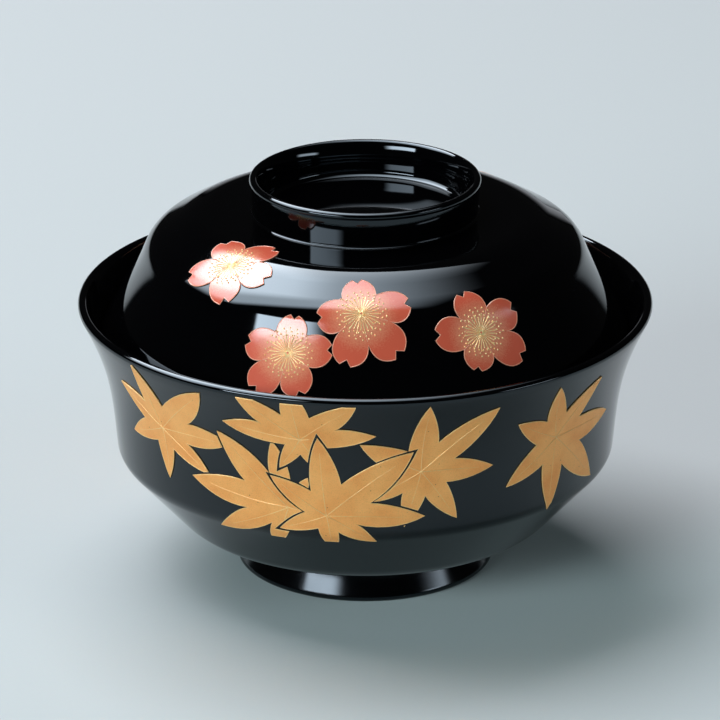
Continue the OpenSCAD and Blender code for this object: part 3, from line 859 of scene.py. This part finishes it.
class RaiseBlossoms(bpy.types.Operator):
    """Lays the red blossoms on the lid, with their outlines, filaments and anthers"""

    bl_idname = "soup_bowl.raise_blossoms"
    bl_label = "Raise the blossoms"

    def execute(self, context):
        b, l, d = context.scene.bowl_sizes, context.scene.lid_sizes, context.scene.decor_sizes
        outside = lid_outline(b, l)[0]
        surface = Surface(outside.points)
        outward = sorted(outside.points, key=lambda p: p.x)
        distances = [p.x for p in outward]

        def height(r):
            """The lid's height at a distance from the axis."""
            i = min(max(bisect_left(distances, r), 1), len(distances) - 1)
            low, high = outward[i - 1], outward[i]
            return low.y + (r - low.x) / (high.x - low.x) * (high.y - low.y)

        def on_lid(blossom, flat, lift):
            """The place on the lid that a blossom's flat point drops to."""
            tilt = math.pi / 2 - math.radians(blossom[2])
            r = blossom[1] * l.shoulder_d / 2
            start = Vector((flat.x, -r + flat.y * math.cos(tilt), height(r) + flat.y * math.sin(tilt)))
            drop = Vector((0, math.sin(tilt), -math.cos(tilt)))
            near, far = -8 * MM, 0
            step = 0.5 * MM
            place = start + near * drop
            while place.z > height(place.xy.length):
                near += step
                place = start + near * drop
            near, far = near - step, near
            for _ in range(16):
                middle = (near + far) / 2
                place = start + middle * drop
                if place.z > height(place.xy.length):
                    near = middle
                else:
                    far = middle
            out = surface.at_height(place.z)[1]
            side = place.xy.normalized()
            place += lift * Vector((side.x * out.x, side.y * out.x, out.y))
            return Matrix.Rotation(math.radians(blossom[0]), 3, "Z") @ place

        petals, dots = bmesh.new(), bmesh.new()
        outlines, threads = [], []
        for blossom in BLOSSOMS:
            bm = flat_block(blossom_outline(blossom[3], d.blossom_r, 8), -d.film_bite, d.film_t)
            outlines += [([(on_lid(blossom, p, d.film_t - d.line_r / 2), 1) for p in loop], True)
                         for loop in edge_loops(bm, d.film_t)]
            slice_up(bm, (0.9 * MM, 0.7 * MM))
            layer = bm.verts.layers.float.new("petal_share")
            for vert in bm.verts:
                vert[layer] = vert.co.xy.length / d.blossom_r
                vert.co = on_lid(blossom, vert.co.xy, vert.co.z)
            add_mesh(petals, bm)
            for i, (turn, _) in enumerate(blossom[3]):
                after = blossom[3][(i + 1) % 5][0]
                between = turn + ((after - turn) % 360) / 2
                outlines.append(([(on_lid(blossom, on_ray(between, s * d.blossom_r), d.film_t), 0.8)
                                  for s in (0.56, 0.5, 0.44, 0.38)], False))
            for i in range(d.filaments):
                turn = 360 * i / d.filaments
                end = (0.4, 0.33)[i % 2]
                thread = [(0.025 + (end - 0.025) * s / 4, 0.55 + 0.13 * s) for s in range(5)]
                threads.append(([(on_lid(blossom, on_ray(turn, s * d.blossom_r), d.film_t), w)
                                 for s, w in thread], False))
            circles = bmesh.new()
            for ring, reach in enumerate((0.37, 0.44, 0.51)):
                dot = bmesh.ops.create_uvsphere(
                    circles, u_segments=8, v_segments=5, radius=d.anther_r,
                    matrix=Matrix.Translation((reach * d.blossom_r, 0, 0)))["verts"]
                bmesh.ops.rotate(circles, cent=(0, 0, 0), verts=dot,
                                 matrix=Matrix.Rotation(ring * TURN / 3 / d.anthers, 3, "Z"))
                faces = list({f for v in dot for f in v.link_faces})
                bmesh.ops.spin(circles, geom=dot + faces, cent=(0, 0, 0), axis=(0, 0, 1), angle=TURN,
                               steps=d.anthers, use_duplicate=True)
                bmesh.ops.delete(circles, geom=dot, context="VERTS")
            for vert in circles.verts:
                flat = vert.co.xy + 0.35 * MM * noise_vector(vert.co.xy.to_3d() / (2 * MM)).xy
                vert.co = on_lid(blossom, flat, d.film_t + vert.co.z)
            add_mesh(dots, circles)
        stamens = drawn_lines(threads, d.line_r)
        add_mesh(stamens, dots)
        finishes = context.scene.finishes
        finished("red_petals", petals, "lid_body", [red_petal(finishes)], ["cherry_petals"])
        finished("petal_lines", drawn_lines(outlines, d.line_r), "lid_body", [petal_line(finishes)])
        finished("gold_stamens", stamens, "lid_body", [pale_gold_line(finishes)],
                 ["cherry_stamens"])
        return {"FINISHED"}


def direction(azimuth, elevation):
    """The direction from the bowl to a lamp, in degrees from the front and up from level."""
    a, e = math.radians(azimuth), math.radians(elevation)
    return Vector((math.sin(a) * math.cos(e), -math.cos(a) * math.cos(e), math.sin(e)))


def soft_lamp(name, azimuth, elevation, distance, size, power, tint):
    """A square soft lamp that lights the bowl and stays out of its reflections."""
    light = bpy.data.lights.new(name, "AREA")
    light.shape = "RECTANGLE"
    light.size, light.size_y = size
    light.energy = power
    light.color = linear(tint)[:3]
    lamp = bpy.data.objects.new(name, light)
    way = direction(azimuth, elevation)
    lamp.location = way * distance
    lamp.rotation_euler = way.to_track_quat("Z", "Y").to_euler()
    lamp.visible_glossy = False
    bpy.context.scene.collection.objects.link(lamp)


def card(name, bm, material):
    """A glowing card that only shows mirrored in the lacquer."""
    mesh = bpy.data.meshes.new(name)
    bm.to_mesh(mesh)
    bm.free()
    mesh.materials.append(material)
    piece = bpy.data.objects.new(name, mesh)
    bpy.context.scene.collection.objects.link(piece)
    piece.visible_camera = False
    piece.visible_diffuse = False
    piece.visible_shadow = False
    piece.visible_transmission = False
    return piece


def glow(name, strength_of):
    """A material that glows evenly or by a pattern."""
    material, tree = new_material(name)
    shader = add_node(tree, "ShaderNodeEmission", {"Color": linear("F4F8FF"), "Strength": strength_of(tree)})
    add_node(tree, "ShaderNodeOutputMaterial", {"Surface": shader.outputs[0]})
    return material


def upright_card(name, azimuth, elevation, distance, size, levels, fades, roll=0):
    """A rounded softbox front or reflector, with a level at its left and at its right side and soft edges."""
    bm = bmesh.new()
    bmesh.ops.create_grid(bm, x_segments=1, y_segments=1, size=0.5)
    bmesh.ops.scale(bm, vec=(size[0], size[1], 1), verts=bm.verts)
    layer = bm.loops.layers.uv.new("across")
    bmesh.ops.bevel(bm, geom=bm.verts[:], offset=0.14 * min(size), segments=6, profile=0.5, material=-1,
                    affect="VERTICES")
    for face in bm.faces:
        for loop in face.loops:
            loop[layer].uv = (loop.vert.co.x / size[0] + 0.5, loop.vert.co.y / size[1] + 0.5)
    way = direction(azimuth, elevation)
    turn = way.to_track_quat("Z", "Y").to_matrix().to_4x4()
    roll_turn = Matrix.Rotation(math.radians(roll), 4, "Z")
    bmesh.ops.transform(bm, matrix=Matrix.Translation(way * distance) @ turn @ roll_turn, verts=bm.verts)

    def strength(tree):
        spot = add_node(tree, "ShaderNodeSeparateXYZ", {0: add_node(tree, "ShaderNodeTexCoord").outputs["UV"]})
        across, up = spot.outputs["X"], spot.outputs["Y"]
        level = add_node(tree, "ShaderNodeMapRange", {"Value": across, "To Min": levels[0], "To Max": levels[1]})
        left, right, low, high = fades
        edges = ((across, 0, left), (across, 1, 1 - right), (up, 0, low), (up, 1, 1 - high))
        return product(tree, level.outputs["Result"],
                       *(soft_step(tree, along, edge, full) for along, edge, full in edges if edge != full))

    card(name, bm, glow(name, strength))


class SetStage(bpy.types.Operator):
    """Lays the floor, hangs the lamps and sets the camera"""

    bl_idname = "soup_bowl.set_stage"
    bl_label = "Set the stage"

    def execute(self, context):
        scene, s = context.scene, context.scene.stage_sizes
        bm = bmesh.new()
        bmesh.ops.create_grid(bm, x_segments=1, y_segments=1, size=s.floor_size / 2)
        mesh = bpy.data.meshes.new("floor")
        bm.to_mesh(mesh)
        bm.free()
        mesh.materials.append(floor_sheet(scene.finishes))
        floor = bpy.data.objects.new("floor", mesh)
        scene.collection.objects.link(floor)

        soft_lamp("lamp_back_left", -137, 62, 1.4, (1.3, 1.1), 19, "FFFFFF")
        soft_lamp("lamp_front_left", -41, 20, 1.3, (0.6, 0.4), 10.5, "E8FFFD")
        soft_lamp("lamp_front_right", 66, 20, 1.3, (0.6, 0.4), 2.5, "E8FFFD")

        # Fades are shares of the card, at its left, right, lower and upper side
        upright_card("glow_front_left", -39, 25.7, 1.2, (0.74, 0.21), (19, 14), (0.06, 0.3, 0.2, 0.12), 4)
        upright_card("glow_front_right", 66, 16, 1.2, (0.62, 0.14), (9, 6), (0.25, 0.25, 0.3, 0.4))
        upright_card("glow_back_paper", 176, 4, 1.8, (0.9, 0.5), (0.6, 0.6), (0.1, 0.1, 0, 0.8))
        self.hang_overhead()

        world = bpy.data.worlds.new("studio")
        world.use_nodes = True
        world.node_tree.nodes["Background"].inputs["Color"].default_value = grey(0.01)
        scene.world = world

        lens = bpy.data.cameras.new("camera")
        lens.lens = s.lens
        lens.sensor_width = 36
        lens.shift_x = s.shift
        lens.clip_start = 0.01
        camera = bpy.data.objects.new("camera", lens)
        camera.location = (0, -s.camera_distance, s.camera_height)
        camera.rotation_euler = (math.pi / 2 - s.camera_pitch, 0, 0)
        scene.collection.objects.link(camera)
        scene.camera = camera
        scene.view_settings.view_transform = "Standard"
        return {"FINISHED"}

    def hang_overhead(self):
        """The wide sheet over the bowl, hot at the back left, whose glow shows on the lid's crown."""
        h = 1.3
        corners = ((-2.15, 0.75), (-2.1, 0.2), (-1.5, -0.45), (0.45, -0.45), (0.5, 0.75), (-0.1, 0.8), (-0.3, 1),
                   (-0.55, 0.98), (-1.15, 0.66), (-1.9, 0.85))
        bm = bmesh.new()
        bm.faces.new([bm.verts.new((x * h, y * h, h)) for x, y in corners])
        bmesh.ops.recalc_face_normals(bm, faces=bm.faces)

        def strength(tree):
            place = add_node(tree, "ShaderNodeTexCoord").outputs["Object"]
            spot = add_node(tree, "ShaderNodeSeparateXYZ", {0: place})
            x, y = spot.outputs["X"], spot.outputs["Y"]
            hot = product(tree, 6.5, soft_step(tree, x, -1.1 * h, -0.65 * h), soft_step(tree, x, -0.05 * h, -0.3 * h),
                          soft_step(tree, y, 0, 0.3 * h))
            wide = product(tree, 8, soft_step(tree, x, -2.1 * h, -1.1 * h), soft_step(tree, x, 0.5 * h, -0.25 * h),
                           soft_step(tree, y, -0.45 * h, -0.2 * h))
            return add_node(tree, "ShaderNodeMath", {0: hot, 1: wide}, operation="ADD").outputs[0]

        card("glow_overhead", bm, glow("glow_overhead", strength))


class SoupBowlPanel(bpy.types.Panel):
    """Lists the steps and the sizes"""

    bl_idname = "VIEW3D_PT_soup_bowl"
    bl_label = "Soup bowl"
    bl_space_type = "VIEW_3D"
    bl_region_type = "UI"
    bl_category = "Soup bowl"

    def draw(self, context):
        for step in STEPS:
            self.layout.operator(step.bl_idname)
        for name, group in GROUPS.items():
            box = self.layout.box()
            box.label(text=group.__doc__)
            for key in group.__annotations__:
                box.prop(getattr(context.scene, name), key)


STEPS = (TurnBowl, TurnLid, RaiseLeaves, RaiseBlossoms, SetStage)


def register():
    for kind in (*GROUPS.values(), *STEPS, SoupBowlPanel):
        bpy.utils.register_class(kind)
    for name, group in GROUPS.items():
        setattr(bpy.types.Scene, name, bpy.props.PointerProperty(type=group))


def unregister():
    for name in GROUPS:
        delattr(bpy.types.Scene, name)
    for kind in (SoupBowlPanel, *STEPS, *GROUPS.values()):
        bpy.utils.unregister_class(kind)


def main():
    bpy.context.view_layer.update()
    register()
    bpy.ops.soup_bowl.turn_bowl()
    bpy.ops.soup_bowl.turn_lid()
    bpy.ops.soup_bowl.raise_leaves()
    bpy.ops.soup_bowl.raise_blossoms()
    bpy.ops.soup_bowl.set_stage()


if __name__ == "__main__":
    main()
